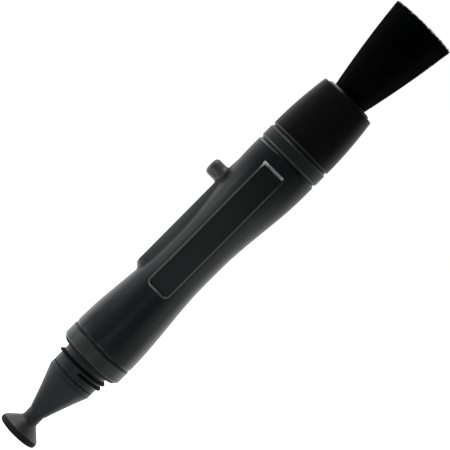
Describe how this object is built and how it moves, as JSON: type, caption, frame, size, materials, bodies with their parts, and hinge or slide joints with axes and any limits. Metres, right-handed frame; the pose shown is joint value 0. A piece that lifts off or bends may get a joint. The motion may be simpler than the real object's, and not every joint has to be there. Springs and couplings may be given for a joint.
{
  "type": "lens cleaning pen",
  "caption": "Pocket optics cleaning pen: waisted barrel with a thumb-slid flared brush at one end and a soft suede pad on a flexible tip and threaded nose at the other.",
  "frame": {"origin": "on the pen's axis, at the shoulder that the cap seats against", "axes": "+X along the pen towards the brush, +Y towards the thumb slider, +Z out of the label pocket"},
  "size_m": [0.1016, 0.016, 0.013],
  "materials": {
    "barrel_black": "satin moulded black",
    "trim_grey": "dark green-grey anodised, turned",
    "collar_black": "smooth black, semi-gloss",
    "nose_slate": "satin dark slate",
    "tip_rubber": "soft dark grey elastomer",
    "pad_suede": "black suede nap",
    "knob_black": "satin moulded black",
    "carriage_grey": "plain moulded dark grey",
    "ferrule_metal": "drawn tube, bright",
    "root_resin": "set resin",
    "brush_hair": "fine black hair, soft gloss"
  },
  "bodies": {
    "pen": {"barrel": "barrel_black", "tip_trim_ring": "trim_grey", "brush_trim_ring": "trim_grey", "brush_collar": "collar_black", "nose_spigot": "nose_slate", "nose_cone": "nose_slate", "flexible_tip": "tip_rubber", "cleaning_pad": "pad_suede"},
    "brush_slider": {"slider_knob": "knob_black", "brush_carriage": "carriage_grey", "brush_ferrule": "ferrule_metal", "hair_root": "root_resin", "brush_tuft": "brush_hair"}
  },
  "joints": [
    {"name": "brush_slide", "type": "slide", "parent": "pen", "child": "brush_slider", "axis": [1, 0, 0], "range_m": [-0.019, 0], "deforming": ["brush_tuft"]}
  ]
}
